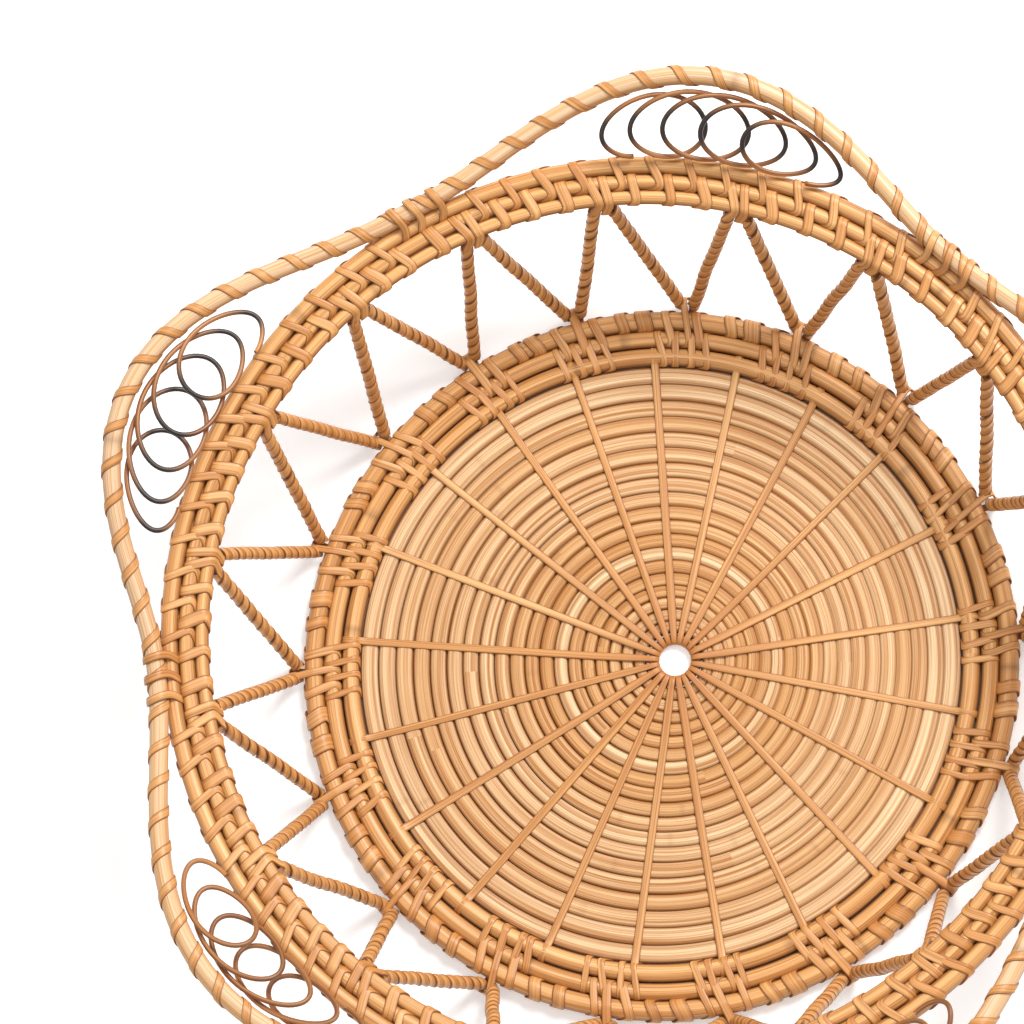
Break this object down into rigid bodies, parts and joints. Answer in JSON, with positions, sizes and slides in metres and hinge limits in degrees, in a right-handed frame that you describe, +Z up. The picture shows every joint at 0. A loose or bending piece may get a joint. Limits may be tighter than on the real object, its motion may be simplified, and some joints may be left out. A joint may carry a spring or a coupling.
{
  "type": "rattan tray basket",
  "caption": "Round woven rattan tray with a flat coiled base, an openwork zigzag side and a scalloped rail with curled cane in each scallop.",
  "frame": {"origin": "on the axis of the centre hole of the base, at the height of the surface that the tray stands on", "axes": "+Z up out of the tray; the border's axis lies 5.5 mm from the hub along -X; one scallop of the rail is centred 7.5 degrees from +Y towards +X"},
  "size_m": [0.332, 0.3328, 0.0856],
  "materials": {
    "split_cane": "satin",
    "skein": "satin",
    "round_cane": "satin",
    "peeled_cane": "satin",
    "dark_cane": "satin"
  },
  "bodies": {
    "root": {"hub_ring": "skein", "base_round_01": "split_cane", "base_round_02": "split_cane", "base_round_03": "split_cane", "base_round_04": "split_cane", "base_round_05": "split_cane", "base_round_06": "split_cane", "base_round_07": "split_cane", "base_round_08": "split_cane", "base_round_09": "split_cane", "base_round_10": "split_cane", "base_round_11": "split_cane", "base_round_12": "split_cane", "base_round_13": "split_cane", "base_round_14": "split_cane", "base_round_15": "split_cane", "base_round_16": "split_cane", "base_round_17": "split_cane", "base_round_18": "split_cane", "base_round_19": "split_cane", "spoke_01": "skein", "spoke_02": "skein", "spoke_03": "skein", "spoke_04": "skein", "spoke_05": "skein", "spoke_06": "skein", "spoke_07": "skein", "spoke_08": "skein", "spoke_09": "skein", "spoke_10": "skein", "spoke_11": "skein", "spoke_12": "skein", "spoke_13": "skein", "spoke_14": "skein", "spoke_15": "skein", "spoke_16": "skein", "spoke_17": "skein", "spoke_18": "skein", "spoke_19": "skein", "spoke_20": "skein", "spoke_21": "skein", "border_cane_outer": "round_cane", "border_cane_middle": "round_cane", "border_cane_inner": "round_cane", "border_stitches_outer": "skein", "border_stitches_inner": "skein", "border_wraps": "skein", "strut_cores": "round_cane", "strut_wraps": "skein", "rim_cane_outer": "round_cane", "rim_cane_middle": "round_cane", "rim_cane_inner": "round_cane", "rim_stitches_outer": "skein", "rim_stitches_inner": "skein", "rim_knots": "skein", "rail_canes": "peeled_cane", "rail_wraps": "skein", "rail_ties": "skein", "curl_coils": "dark_cane"}
  },
  "joints": []
}
